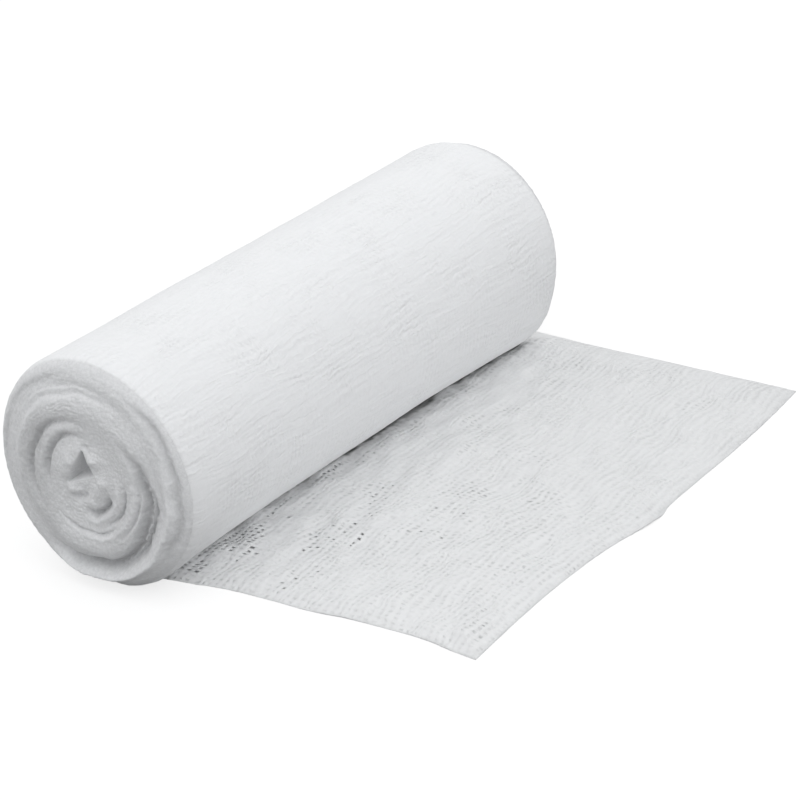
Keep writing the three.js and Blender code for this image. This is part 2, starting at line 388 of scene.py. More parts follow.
gauzeFinish = {
    "Roughness": 0.95, "Specular IOR Level": 0.2, "Sheen Weight": 0.15, "Sheen Roughness": 0.6,
    "Subsurface Weight": 0.5, "Subsurface Radius": (1.0, 1.0, 1.0), "Subsurface Scale": 0.3 * mm,
}


def makeGauze(name, colour, bumpHeight, fibres):
    material = bpy.data.materials.new(name)
    material.use_nodes = True
    nodes, links = material.node_tree.nodes, material.node_tree.links
    shader = nodes["Principled BSDF"]
    for key, value in gauzeFinish.items():
        shader.inputs[key].default_value = value
    grain = nodes.new("ShaderNodeGroup")
    grain.name = "fibres"
    grain.node_tree = fibreGroup
    for key, value in fibres.items():
        grain.inputs[key].default_value = value
    grain.inputs["colour"].default_value = (*colour, 1)
    bump = nodes.new("ShaderNodeBump")
    bump.name = "fuzz"
    bump.inputs["Strength"].default_value = 0.6
    bump.inputs["Distance"].default_value = bumpHeight
    links.new(grain.outputs["shaded"], shader.inputs["Base Color"])
    links.new(grain.outputs["height"], bump.inputs["Height"])
    links.new(bump.outputs[0], shader.inputs["Normal"])
    return material


fibreGroup = makeFibreGroup()
weaveGroup = makeWeaveGroup()
woundGauze = makeGauze("woundGauze", (0.855, 0.86, 0.87), 0.22 * mm,
                       {"mottleSize": 1900, "mottleDepth": 0.14, "fuzzSize": 3600})
addPaintedShading(woundGauze, 0.6)
sideGauze = makeGauze("sideGauze", (0.89, 0.895, 0.905), 0.05 * mm,
                      {"mottleSize": 1300, "mottleDepth": 0.03, "fuzzSize": 4200})
# the weave's gaps, its lines and the number kept on its points are painted shade on the cloth
addWeave(sideGauze, {"strength": 0.9, "relief": 0.11 * mm, "leastShown": 0.12, "streaks": 1.7,
                     "gapDepth": 0.10, "lineDepth": 0.035, "opens": False, "outwardShade": 0.0,
                     "paintedShadingDepth": 0.5, "streakScale": (0.20, 2.0)})
# painted light: the laid cloth is given a lighter colour than the roll, so that it stays bright beside the
# roll's shade
laidGauze = makeGauze("laidGauze", (0.935, 0.94, 0.945), 0.05 * mm,
                      {"mottleSize": 1300, "mottleDepth": 0.04, "fuzzSize": 4200})
addWeave(laidGauze, {"strength": 0.9, "relief": 0.14 * mm, "leastShown": 0.30, "streaks": 1.9,
                     "gapDepth": 0.12, "lineDepth": 0.10, "opens": True, "openDepth": 1.0, "outwardShade": 0.21,
                     "paintedShadingDepth": 0.62, "streakScale": (0.26, 1.3)})
print("materials made")


# The wound roll: turned from its profile and pushed into its true form. In mm, but faceEdge is
# the share of the radius where a face ends.
roll = {
    "radius": 21.3, "foot": 9.0, "width": 114.3, "rimInset": 1.8, "faceEdge": 0.92,
    "steps": 360, "nearRings": 160, "farRings": 72, "sideRings": 20, "cornerRings": 6,
    "turnPitch": 0.78, "turnHeight": 0.028, "fluff": 0.042, "sideDepth": 0.10,
    "streak": 0.03, "swell": 0.07,
}
directions = ("front", "upFront", "up", "upBack", "back", "downBack", "down", "downFront")
# How far the near end stands proud of its rim, in mm, in eight directions.
nearFace = namedRows(     # share of the radius, then the heights
    ("share", *directions),
    (0.0, 2.2, 2.2, 2.2, 2.2, 2.2, 2.2, 2.2, 2.2),
    (0.22, 2.5, 2.5, 2.3, 2.3, 2.3, 2.2, 1.9, 2.2),
    (0.4, 2.4, 2.3, 2.0, 2.0, 2.1, 2.3, 2.3, 2.5),
    (0.5, 2.2, 2.4, 2.3, 2.3, 2.3, 2.5, 2.7, 2.6),
    (0.57, 2.0, 2.4, 2.6, 2.6, 2.5, 2.6, 2.9, 2.6),
    (0.63, 1.7, 2.4, 2.7, 2.7, 2.5, 2.5, 2.7, 2.2),
    (0.69, 1.3, 2.0, 2.3, 2.3, 2.2, 2.2, 1.9, 1.5),
    (0.74, 1.1, 1.6, 1.7, 1.7, 1.8, 1.9, 1.3, 1.2),
    (0.8, 1.2, 1.25, 1.3, 1.4, 1.5, 1.7, 1.5, 1.5),
    (0.87, 1.2, 1.1, 1.15, 1.2, 1.2, 1.4, 1.6, 1.6),
    (0.94, 0.4, 0.4, 0.4, 0.4, 0.4, 0.5, 0.6, 0.6),
    (1.0, 0.0, 0.0, 0.0, 0.0, 0.0, 0.0, 0.0, 0.0),
)
# Ridges and grooves between the wound turns there: each runs round its own middle, between
# two angles counted from the front upwards, in degrees; radius and the two widths, towards
# the middle and away from it, are shares of the roll's radius, and the height is in mm.
faceRings = namedRows(
    ("front", "up", "radius", "inner", "outer", "height", "from", "to", "fade"),
    (0.03, 0.01, 0.715, 0.05, 0.02, 0.34, 45, 215, 40),
    (0.02, 0.02, 0.775, 0.03, 0.014, 0.18, 60, 150, 30),
    (0.0, 0.0, 0.875, 0.05, 0.035, -0.55, 85, 205, 35),
    (-0.075, -0.075, 0.667, 0.028, 0.06, -2.1, -135, 52, 50),
    (-0.075, -0.075, 0.697, 0.014, 0.014, 0.36, -70, 25, 30),
    (-0.075, -0.075, 0.722, 0.016, 0.034, -0.8, -70, 20, 35),
    (-0.03, -0.03, 0.848, 0.05, 0.032, 1.15, -140, 30, 45),
    (-0.02, -0.01, 0.91, 0.026, 0.036, -0.95, -52, 62, 30),
    (-0.03, -0.03, 0.89, 0.026, 0.05, -0.6, -125, -65, 25),
    (-0.03, -0.02, 0.53, 0.022, 0.03, -1.0, 75, 225, 55),
    (-0.02, 0.01, 0.372, 0.022, 0.026, -1.0, 75, 205, 45),
    (0.0, 0.0, 0.45, 0.03, 0.03, 0.3, 70, 210, 40),
    (0.0, 0.0, 0.41, 0.014, 0.014, -0.8, -70, 20, 35),
    (0.0, 0.01, 0.465, 0.013, 0.013, -0.6, -140, -45, 35),
    (0.0, 0.0, 0.345, 0.03, 0.03, 0.35, -110, 30, 40),
    (0.0, 0.0, 0.5, 0.024, 0.024, 0.25, -120, 20, 40),
    (-0.02, -0.01, 0.56, 0.014, 0.014, -0.6, -60, 25, 35),
    (0.02, -0.06, 0.215, 0.022, 0.032, -1.6, -115, 5, 40),
)
# The far end is dished: the outer turns stand past the inner ones. Four directions are enough.
farFace = namedRows(
    ("share", *directions[::2]),
    (0.0, -3.2, -3.0, -3.0, -3.0),
    (0.13, -3.4, -2.9, -2.8, -3.2),
    (0.24, -3.3, -3.8, -3.5, -2.7),
    (0.34, -2.8, -2.4, -2.9, -3.4),
    (0.46, -3.0, -3.6, -3.3, -2.9),
    (0.57, -2.5, -1.9, -2.1, -2.7),
    (0.68, -2.2, -2.9, -3.2, -2.4),
    (0.78, -1.3, -0.8, -0.9, -1.6),
    (0.87, -0.7, -0.9, -1.2, -0.9),
    (0.96, 0.4, 2.2, 1.2, 0.5),
    (1.0, 0.4, 1.6, 1.0, 0.5),
)
# The hollow core at the near end is a flat triangle: its corners, in shares of the radius.
coreCorners = [(-0.165, -0.025), (0.010, 0.260), (0.100, 0.080)]
# Soft petals of cloth stand round it, and creases part them: heights in mm.
corePetals = namedRows(
    ("front", "up", "reach", "height"),
    (-0.125, 0.165, 0.085, 0.9), (-0.185, 0.06, 0.075, 0.7), (-0.05, 0.27, 0.06, 0.4),
    (0.12, 0.21, 0.055, 0.8), (0.2, 0.03, 0.07, 0.6), (0.13, -0.07, 0.07, 0.6),
    (0.06, -0.17, 0.07, 0.8), (-0.13, -0.09, 0.055, 0.8), (-0.095, -0.155, 0.04, -1.0),
    (-0.01, -0.135, 0.032, -1.0), (0.05, 0.3, 0.03, -0.5),
)

axisHeight = math.sqrt(roll["radius"] ** 2 - (roll["foot"] / 2) ** 2)
halfWidth = roll["width"] / 2


def tableAround(rows, names, share, angle):
    # rows along the share, columns evenly spaced around the circle from the front
    columns = [readTable(rows, "share", share, name) for name in names]
    columns = np.stack(columns, -1)
    place = (angle / turn * len(names)) % len(names)
    low = np.floor(place).astype(int) % len(names)
    part = easeBetween(0, 1, place - np.floor(place))
    one = np.take_along_axis(columns, low[..., None], -1)[..., 0]
    two = np.take_along_axis(columns, ((low + 1) % len(names))[..., None], -1)[..., 0]
    return one * (1 - part) + two * part


def distanceToCore(front, up):
    # signed distance to the triangle of the core, in shares of the radius
    inside = np.full(front.shape, True)
    nearest = np.full(front.shape, 9.0)
    middle = np.mean(coreCorners, axis=0)
    for one, two in zip(coreCorners, coreCorners[1:] + coreCorners[:1]):
        alongX, alongY = two[0] - one[0], two[1] - one[1]
        spot = ((front - one[0]) * alongX + (up - one[1]) * alongY) / (alongX ** 2 + alongY ** 2)
        spot = np.clip(spot, 0, 1)
        away = np.hypot(front - one[0] - spot * alongX, up - one[1] - spot * alongY)
        nearest = np.minimum(nearest, away)
        crossing = alongX * (up - one[1]) - alongY * (front - one[0])
        centreSide = alongX * (middle[1] - one[1]) - alongY * (middle[0] - one[0])
        inside &= crossing * centreSide > 0
    return np.where(inside, -nearest, nearest) - 0.012


def turnBeads(share, angle, seed):
    # the edges of the wound turns: a fine spiral that wanders and fades in and out
    spot = np.stack([share * np.cos(angle), share * np.sin(angle), np.zeros_like(share)], -1)
    wander = 0.8 * wavyField(seed, 0.15, 0.8)(spot)
    phase = share * roll["radius"] / roll["turnPitch"] - angle / turn + wander
    strength = np.clip(0.6 + 0.6 * wavyField(seed + 1, 0.15, 0.6)(spot), 0.0, 1.5)
    return roll["turnHeight"] * strength * easeBetween(0.78, 0.66, share) * np.cos(turn * phase)


# How far the rings stray, in shares of the radius; the two steps down into the core, in mm; and the
# painted shading: how dark the cloth is painted all over, for each mm of a groove (painted shade) or
# crest (painted highlight), on the left, on the right, and in the core (painted shade).
nearEnd = {
    "wander": 0.007, "sway": 0.006, "scallops": 0.002, "firstStep": 1.6, "secondStep": 1.8,
    "everywhere": 0.05, "inGrooves": -0.22, "onCrests": -0.25, "left": 0.20, "right": 0.06, "core": 0.12,
}
faceWander = wavyField(8, 0.18, 0.6, 30)
faceScallops = wavyField(9, 0.03, 0.08, 50)


def ringRelief(front, up):
    # the ridges and grooves of the table, summed
    total = np.zeros_like(front)
    for ring in faceRings:
        across, above = front - ring["front"], up - ring["up"]
        heading = np.degrees(np.arctan2(above, across))
        middle, half = (ring["from"] + ring["to"]) / 2, (ring["to"] - ring["from"]) / 2
        away = np.abs((heading - middle + 180) % 360 - 180)
        near = np.hypot(across, above) - ring["radius"]
        near = near / np.where(near < 0, ring["inner"], ring["outer"])
        total += ring["height"] * easeBetween(half, half - ring["fade"], away) * np.exp(-near ** 2)
    return total


def nearHeight(share, angle):
    # height of the near end, its painted shading (painted shade in grooves, to the left, to the right and in
    # the core, painted highlight on crests), and how rough it is there
    front, up = share * np.cos(angle), share * np.sin(angle)
    spot = np.stack([front, up, 0 * front], -1)
    wander = nearEnd["wander"] * faceWander(spot) + nearEnd["scallops"] * faceScallops(spot)
    sway = nearEnd["sway"] * faceWander(spot + 3) + nearEnd["scallops"] * faceScallops(spot + 3)
    relief = ringRelief(front + wander, up + sway)
    height = tableAround(nearFace, directions, share, angle) + relief
    hole = distanceToCore(front, up)
    for petal in corePetals:
        away = np.hypot(front - petal["front"], up - petal["up"]) / petal["reach"]
        height = height + petal["height"] * np.exp(-1.2 * away ** 2)
    height = height - nearEnd["firstStep"] * easeBetween(0.006, -0.03, hole)
    height = height - nearEnd["secondStep"] * easeBetween(0.0, -0.05, hole)
    height = height + turnBeads(share, angle, 11) * easeBetween(0.02, 0.07, hole)
    # painted shade in the grooves and painted highlight on the crests, then more painted shade to the left,
    # to the right and in the core
    byRelief = np.where(relief < 0, nearEnd["inGrooves"], nearEnd["onCrests"])
    paintedShading = np.clip(nearEnd["everywhere"] + byRelief * relief, -0.1, 0.6)
    paintedShading = paintedShading + nearEnd["left"] * easeBetween(-0.25, -0.45, front) * easeBetween(0.74, 0.64, share)
    paintedShading = paintedShading + nearEnd["right"] * easeBetween(0.15, 0.35, front) * easeBetween(0.62, 0.50, share)
    paintedShading = np.maximum(paintedShading, nearEnd["core"] * easeBetween(0.004, -0.015, hole))
    return height, paintedShading, 0.8 + 2.0 * easeBetween(0.2, 1.5, -relief)


def farHeight(share, angle):
    height = tableAround(farFace, directions[::2], share, angle)
    height = height - 7.0 * easeBetween(0.10, 0.04, share)
    return height + 1.6 * turnBeads(share, angle, 21) * easeBetween(0.06, 0.12, share)


def castMap(node, starts, ways, reach):
    # how far a ray from each start runs to the CAD node's surface
    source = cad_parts[node]
    mesh = bmesh.new()
    mesh.from_mesh(source.data)
    tree = BVHTree.FromBMesh(mesh)
    mesh.free()
    found = np.full(len(starts), np.nan)
    for index, (start, way) in enumerate(zip(starts, ways)):
        hit = tree.ray_cast(Vector(start), Vector(way), reach)
        if hit[0] is not None:
            found[index] = hit[3]
    return found


# The solid's side is measured by rays from a circle round it, in mm.
sideGrid = {"along": 97, "around": 180, "rimGap": 1.2, "rayStart": 40}
gridEnd = halfWidth - sideGrid["rimGap"]
gridX = np.linspace(-gridEnd, gridEnd, sideGrid["along"])
gridAngle = np.arange(sideGrid["around"]) * turn / sideGrid["around"]
castX, castAngle = np.meshgrid(gridX, gridAngle, indexing="ij")
castWays = np.stack([0 * castX, -np.cos(castAngle), np.sin(castAngle)], -1).reshape(-1, 3)
castStarts = np.stack([castX * mm, 0 * castX, 0 * castX + axisHeight * mm], -1).reshape(-1, 3)
castStarts = castStarts + sideGrid["rayStart"] * mm * castWays
castRuns = castMap("gauze_roll", castStarts, -castWays, 0.05).reshape(castX.shape)
sideRadius = sideGrid["rayStart"] - castRuns / mm


def radiusAt(x, angle):
    # the solid's own radius at a place along the axis and an angle around it
    row = np.clip((x - gridX[0]) / (gridX[1] - gridX[0]), 0, sideGrid["along"] - 1.001)
    return readGrid(sideRadius, row, (angle / turn * sideGrid["around"]) % sideGrid["around"])


sideStreaks = wavyField(5, 1.2, 3.6, 40, (12, 1, 1))
sideSwell = wavyField(6, 18, 45, 20)


def sideWaves(x, angle):
    # long soft streaks along the axis, over a slow swell, in mm
    spot = np.stack([x, roll["radius"] * np.cos(angle), roll["radius"] * np.sin(angle)], -1)
    return roll["streak"] * sideStreaks(spot) + roll["swell"] * sideSwell(spot)


def rollProfile():
    # the half outline to turn: near face, near corner, side, far corner, far face
    edge, inset = roll["faceEdge"] * roll["radius"], roll["rimInset"]
    sideLength = roll["width"] - 2 * inset
    profile = [(-halfWidth, edge * ring / (roll["nearRings"] - 1)) for ring in range(roll["nearRings"])]
    corner = []
    for ring in range(1, roll["cornerRings"]):
        bend = math.pi / 2 * ring / roll["cornerRings"]
        radius = edge + (roll["radius"] - edge) * math.sin(bend)
        corner.append((halfWidth - inset * (1 - math.cos(bend)), radius))
    profile += [(-x, radius) for x, radius in corner]
    for ring in range(roll["sideRings"]):
        profile.append((-halfWidth + inset + sideLength * ring / (roll["sideRings"] - 1), roll["radius"]))
    profile += corner[::-1]
    profile += [(halfWidth, edge * (1 - ring / (roll["farRings"] - 1))) for ring in range(roll["farRings"])]
    return profile


def sortParts(parts, key):
    for rank, part in enumerate(sorted(parts, key=key)):
        part.index = rank
    parts.sort()


def makeWoundRoll():
    mesh = bmesh.new()
    points = [mesh.verts.new((x, -radius, 0)) for x, radius in rollProfile()]
    for one, two in zip(points, points[1:]):
        mesh.edges.new((one, two))
    bmesh.ops.spin(mesh, geom=mesh.verts[:] + mesh.edges[:], cent=(0, 0, 0), axis=(1, 0, 0),
                   angle=turn, steps=roll["steps"], use_merge=True, use_duplicate=False)
    bmesh.ops.remove_doubles(mesh, verts=mesh.verts, dist=1e-4)
    bmesh.ops.recalc_face_normals(mesh, faces=mesh.faces)
    # the merge leaves points and faces in an order that changes from run to run
    sortParts(mesh.verts, lambda point: tuple(point.co))
    sortParts(mesh.faces, lambda face: sorted(point.index for point in face.verts))
    made = bpy.data.meshes.new("wound_cloth")
    mesh.to_mesh(made)
    mesh.free()
    places = np.empty(len(made.vertices) * 3)
    made.vertices.foreach_get("co", places)
    places = places.reshape(-1, 3)
    x, level, upright = places[:, 0], -places[:, 1], places[:, 2]
    radius = np.hypot(level, upright)
    angle = np.arctan2(upright, level)
    share = radius / roll["radius"]
    onSide = easeBetween(roll["faceEdge"], 1.0, share)     # 0 on a face, 1 on the side
    spot = np.stack([x, radius * np.cos(angle), radius * np.sin(angle)], -1)
    fluff = 0.7 * wavyField(3, 0.9, 2.6, 50)(spot) + 0.7 * wavyField(4, 0.5, 1.1, 60)(spot)
    near, paintedShading, rough = nearHeight(share, angle)
    outwards = np.where(x < 0, near, farHeight(share, angle))
    outwards = outwards + roll["fluff"] * np.where(x < 0, rough, 1.5) * fluff
    solid = radiusAt(x, angle)
    wide = solid - roll["sideDepth"] + sideWaves(x, angle)
    radius = radius * (wide * onSide + solid * (1 - onSide)) / roll["radius"]
    newX = x + np.sign(x) * outwards * (1 - onSide)
    newUp = np.maximum(axisHeight + radius * np.sin(angle), 0.02)
    places = np.stack([newX, -radius * np.cos(angle), newUp], -1) * mm
    made.vertices.foreach_set("co", places.astype(np.float32).ravel())
    made.update()
    # painted shading on the ends: the near end's painted shade and highlight, and the far end painted evenly
    # darker
    keepOnPoints(made, "paintedShading", np.where(x < 0, paintedShading, 0.2) * (1 - onSide))
    return addPiece("wound_cloth", made, woundGauze, "gauze_roll")


woundCloth = makeWoundRoll()
print("wound roll made:", len(woundCloth.data.polygons), "faces")


# The outermost turn: a thin woven sheet wrapped round the body, in mm. Where it lies near the loose
# end it is painted darker, painted shade: shadeFrom and shadeTo are how far out, how high and how
# far along.
outerTurn = {
    "warps": 94, "wefts": 92, "perYarn": 2, "endInset": 0.3, "endSunk": 0.04, "thickness": 0.3,
    "bunch": 0.45, "slide": 0.25, "fine": 0.10, "fineSlide": 0.08, "fieldRadius": 21.0,
    "shadeFrom": (9.5, 6, -30), "shadeTo": (7.5, 3, 15),
}
turnPush = wavyField(31, 5, 16, 40, (3, 1, 1))
turnSlide = wavyField(32, 6, 20, 30)
turnFine = wavyField(33, 1.5, 4, 40)


def onSideOfRoll(x, angle, height):
    # a place on the roll's side, with its corners rounded as the body's are
    edge = roll["faceEdge"] * roll["radius"]
    past = np.clip((np.abs(x) - (halfWidth - roll["rimInset"])) / roll["rimInset"], 0, 1)
    rounded = np.sqrt(np.maximum(1 - past ** 2, 0))
    factor = (edge + (roll["radius"] - edge) * rounded) / roll["radius"]
    radius = radiusAt(x, angle) * factor + height
    up = np.maximum(axisHeight + radius * np.sin(angle), 0.01)
    return np.stack([x, -radius * np.cos(angle), up], -1)


def makeOuterTurn():
    part = outerTurn
    rows = part["warps"] * part["perYarn"] + 1
    columns = part["wefts"] * part["perYarn"]
    halfSpan = halfWidth - part["endInset"]
    x, angle = np.meshgrid(np.linspace(-halfSpan, halfSpan, rows),
                           turn * np.arange(columns) / columns, indexing="ij")
    lattice = np.stack([(x + halfSpan) / (2 * halfSpan) * part["warps"], angle / turn * part["wefts"]], -1)
    near = part["fieldRadius"]
    spot = np.stack([x, near * np.cos(angle), near * np.sin(angle)], -1)
    fromEnd = halfSpan - np.abs(x)
    ends = easeBetween(0, 5, fromEnd)
    movedAngle = angle + (part["bunch"] * turnPush(spot) + part["fine"] * turnFine(spot)) / roll["radius"]
    movedX = x + ends * (part["slide"] * turnSlide(spot) + part["fineSlide"] * turnFine(spot[..., ::-1]))
    height = sideWaves(movedX, movedAngle) - part["endSunk"] * easeBetween(1.0, 0.0, fromEnd)
    outer = onSideOfRoll(movedX, movedAngle, height)
    inner = onSideOfRoll(movedX, movedAngle, height - part["thickness"])
    inner[..., 2] = np.maximum(inner[..., 2], outer[..., 2].min() + 0.12)
    solid = np.full((rows - 1, columns), True)
    # painted shade where the turn meets the loose end under the roll
    shade = np.ones(outer.shape[:2])
    away = (np.abs(outer[..., 1]), outer[..., 2], outer[..., 0])
    for place, low, high in zip(away, part["shadeFrom"], part["shadeTo"]):
        shade = shade * easeBetween(low, high, place)
    mesh = wovenSheet("outer_turn", outer * mm, inner * mm, lattice, solid, {"paintedShading": shade}, part["wefts"])
    return addPiece("outer_turn", mesh, sideGauze, "gauze_roll")


outerCloth = makeOuterTurn()
print("outer turn made:", len(outerCloth.data.polygons), "faces")


# The loose end: woven sheets one over the other, with true holes between their yarns, in mm. A
# hole's size is its share of the cell between the yarns.
looseEnd = {
    "shift": 8.2, "reach": 69.0, "start": -5.5, "warps": 94, "wefts": 47,
    "holeSize": 0.36, "holeVaries": 0.03, "holeChance": 0.07, "ownChance": 0.02, "least": 0.26,
    "smallest": 0.16, "largest": 0.48, "mostOpen": 0.85, "leftOpen": 0.26,
    "edgeHeight": 0.30, "thickness": 0.16, "edgeDrop": 0.75,
    "weftRidge": 0.05, "warpRidge": 0.03, "crossing": 0.02,
    "bunch": 0.36, "slide": 0.28, "fine": 0.12, "ownShift": 0.3, "pucker": 0.16, "folds": 0.65,
    # painted shade outwards from the roll and to the right, and painted light near the seam
    "outwardShade": 0.21, "outwardShadeByX": 0.005, "nearBright": 0.10,
}
loosePlies = namedRows(
    ("name", "level", "openFrom", "seed", "own"),
    ("loose_lower", 0.6, 0.6, 90, 1.0),
    ("loose_upper", 1.0, 0.35, 91, 0.0),
)
cutEdge = namedRows(
    ("across", "past"),
    (0.0, 0.9), (0.12, 0.1), (0.25, -0.1), (0.36, 0.6), (0.42, 1.6),
    (0.48, 3.0), (0.53, 2.3), (0.62, 2.1), (0.75, 2.1), (0.89, 1.5),
    (1.0, 0.6),
)
selvages = namedRows(
    ("along", "near", "far"),
    (0.0, 2.4, -0.9), (0.1, 1.5, -1.2), (0.22, 0.2, -2.0), (0.36, -0.2, -2.4),
    (0.5, -0.3, -2.6), (0.57, -0.9, -2.8), (0.7, -1.3, -3.2), (0.84, -1.2, -3.6),
    (0.93, -0.4, -4.0), (1.0, 0.3, -4.2),
)
# The lower edge of the seam's painted shade under the roll, in mm.
seamLine = namedRows(
    ("x", "y"),
    (-60, -8.6), (-52, -8.5), (-40, -8.1), (-30, -7.9), (-12, -8.1),
    (0, -8.8), (10, -9.3), (30, -10.1), (50, -10.9), (66, -11.4),
)
# Where the plies happen to lie gap over gap, so that the cloth looks open: mm, and how open. There
# the cells open into holes, and the material paints the gaps darker, a painted shade.
openPatches = namedRows(
    ("x", "y", "reachX", "reachY", "open"),
    (-37, -9.9, 9.0, 2.2, 1.2), (-33, -11.4, 6.5, 1.6, 1.1),
    (-35, -13.4, 7.0, 1.6, 1.0), (-39, -15.4, 4.5, 1.8, 0.95),
    (-47, -10.3, 5.0, 2.6, 1.1), (-50, -13.5, 3.0, 3.5, 0.9),
    (-22, -10.0, 6.0, 1.4, 0.95), (-8, -10.6, 7.0, 1.5, 0.8),
    (3, -12.5, 8.0, 1.6, 0.55), (14, -12.0, 8.0, 1.8, 0.5),
    (40, -13.0, 16.0, 1.8, 0.45), (-10, -13.5, 0.9, 0.9, 1.0),
    (-25, -14.6, 0.9, 0.9, 1.0), (-47, -19.0, 0.9, 0.9, 1.0),
    (-43, -21, 3.0, 4.0, 0.6), (-46, -27, 2.2, 1.3, 0.85),
    (-41, -30, 5.5, 5.0, 0.6), (-28, -25, 6.5, 5.5, 0.74),
    (-26, -30, 4.5, 0.9, 0.95), (-21.5, -26.5, 1.4, 1.6, 0.9),
    (-18.0, -27.5, 2.3, 1.8, 0.8), (-14, -25, 4.5, 2.2, 0.66),
    (-9, -23, 4.0, 4.5, 0.68), (-19, -42, 4.0, 9.0, 0.62),
    (-11, -40, 3.5, 8.0, 0.55), (-2, -36.5, 5.0, 5.5, 0.68),
    (0.5, -52, 5.0, 3.8, 0.58), (-10, -54, 3.0, 5.0, 0.62),
    (-24, -60, 4.5, 8.0, 0.45), (-38, -47, 5.0, 5.0, 0.42),
    (-42, -65, 4.0, 2.5, 0.5), (-18, -64, 4.0, 6.0, 0.42),
    (14, -28.5, 7.0, 1.8, 0.55), (14, -40, 4.0, 7.0, 0.4),
    (22, -23, 4.0, 4.0, 0.42), (29, -25.5, 3.0, 3.2, 0.45),
    (43, -27, 2.4, 6.0, 0.42), (51.5, -24, 3.0, 4.5, 0.38),
    (59, -15.5, 2.2, 4.5, 0.42), (46, -56, 4.0, 3.0, 0.36),
    (5, -46, 3.0, 5.0, 0.38),
)

# The loose end's solid is measured by rays from above and below it, in mm.
clothGrid = {"step": 0.75, "rayStart": 50}
clothGridX = np.arange(-61.0, 66.0, clothGrid["step"])
clothGridY = np.arange(-73.5, -5.0, clothGrid["step"])


def fillGaps(values):
    # spreads the nearest found height outwards past the solid's outline
    for _ in range(12):
        missing = np.isnan(values)
        if not missing.any():
            break
        padded = np.pad(values, 1, constant_values=np.nan)
        around = np.stack([padded[:-2, 1:-1], padded[2:, 1:-1], padded[1:-1, :-2], padded[1:-1, 2:]])
        counted = (~np.isnan(around)).sum(0)
        total = np.nansum(around, 0)
        values = np.where(missing & (counted > 0), total / np.maximum(counted, 1), values)
    return np.nan_to_num(values)


def solidHeights():
    x, y = np.meshgrid(clothGridX, clothGridY, indexing="ij")
    start = clothGrid["rayStart"]
    above = np.stack([x, y, 0 * x + start], -1).reshape(-1, 3) * mm
    below = np.stack([x, y, 0 * x - start], -1).reshape(-1, 3) * mm
    down = np.tile([0.0, 0.0, -1.0], (len(above), 1))
    top = start - castMap("loose_end", above, down, 0.1).reshape(x.shape) / mm
    bottom = castMap("loose_end", below, -down, 0.1).reshape(x.shape) / mm - start
    return fillGaps(top), fillGaps(bottom)


clothTop, clothBottom = solidHeights()


def fromGrid(grid, x, y):
    # a measured height at any place, in mm
    row = np.clip((x - clothGridX[0]) / clothGrid["step"], 0, len(clothGridX) - 1.001)
    column = np.clip((y - clothGridY[0]) / clothGrid["step"], 0, len(clothGridY) - 1.001)
    return readGrid(grid, row, column)


def laidPlace(across, along):
    # where a spot of the flat cloth lies, from selvage to selvage and from the roll to the cut edge
    near = -halfWidth + looseEnd["shift"] - readTable(selvages, "along", along, "near")
    far = halfWidth + looseEnd["shift"] + readTable(selvages, "along", along, "far")
    cutY = -looseEnd["reach"] - readTable(cutEdge, "across", across, "past")
    return near + (far - near) * across, looseEnd["start"] + (cutY - looseEnd["start"]) * along


def openness(x, y):
    # the table's patches, the most open of them at each place
    total = np.zeros_like(x)
    for patch in openPatches:
        away = np.hypot((x - patch["x"]) / patch["reachX"], (y - patch["y"]) / patch["reachY"])
        total = np.maximum(total, patch["open"] * easeBetween(1.4, 0.5, away))
    return total


def seamShade(x, y):
    # painted shade in the narrow gap under the roll, where the laid cloth goes in below it, and in one fold
    # further out
    seam = readTable(seamLine, "x", x, "y")
    wavy = 0.3 * sharedFine(inSpace(x, y))
    deep = easeBetween(seam - 0.3, seam + 0.4, y + wavy) * (0.5 + 0.5 * easeBetween(-25, 10, x))
    soft = easeBetween(seam - 3.5, seam, y + 3 * wavy) * easeBetween(-15, 45, x)
    fold = easeBetween(1.0, 0.2, np.hypot((x + 50.5) / 3.5, (y + 40.5) / 6.5))
    return np.maximum(np.maximum(deep, 0.5 * soft) * easeBetween(60.5, 56.5, x), 0.22 * fold)


sharedY = wavyField(41, 4.5, 16, 40, (2.2, 1, 1))
sharedX = wavyField(42, 5, 18, 40, (1, 1.6, 1))
sharedFine = wavyField(43, 1.6, 4.5, 50)
sharedPucker = wavyField(44, 3.5, 10, 50, (1.8, 1, 1))


def inSpace(x, y):
    return np.stack([x, y, 0 * x], -1)


def clothPlace(across, along, level, own):
    # where a spot of one ply lies: level is 0 at the sheet's underside and 1 at its top
    part = looseEnd
    x, y = laidPlace(across, along)
    spot = inSpace(x, y)
    fromSelvage = np.minimum(across, 1 - across) * roll["width"]
    fromCut = (1 - along) * (part["reach"] + part["start"])
    dx = part["slide"] * sharedX(spot) + part["fine"] * sharedFine(spot)
    dy = part["bunch"] * sharedY(spot) + part["fine"] * sharedFine(spot + 30)
    free = own["share"] * part["ownShift"] * (1 - 0.92 * openness(x, y))
    dx = dx + free * (own["x"](spot) + 2.0)
    dy = dy + free * (own["y"](spot) + 1.5)
    x = x + easeBetween(0, 4, fromSelvage) * dx
    y = y + easeBetween(0, 4, fromCut) * dy
    spot = inSpace(x, y)
    lifted = fromGrid(clothBottom, x, y)
    depth = fromGrid(clothTop, x, y) - lifted
    bottom = part["folds"] * lifted * (1 - part["edgeDrop"] * easeBetween(9, 1, fromSelvage))
    room = easeBetween(0.45, 1.0, depth)
    fromEdge = np.minimum(fromSelvage, fromCut)
    thin = part["edgeHeight"] + (1 - part["edgeHeight"]) * easeBetween(0, 3.5, fromEdge)
    thin = thin * (0.3 + 0.7 * easeBetween(0, 0.7, fromEdge))
    z = bottom + depth * level * thin
    z = z + room * thin * part["pucker"] * (sharedPucker(spot) + 0.4 * own["pucker"](spot))
    return np.stack([x, y, z], -1)


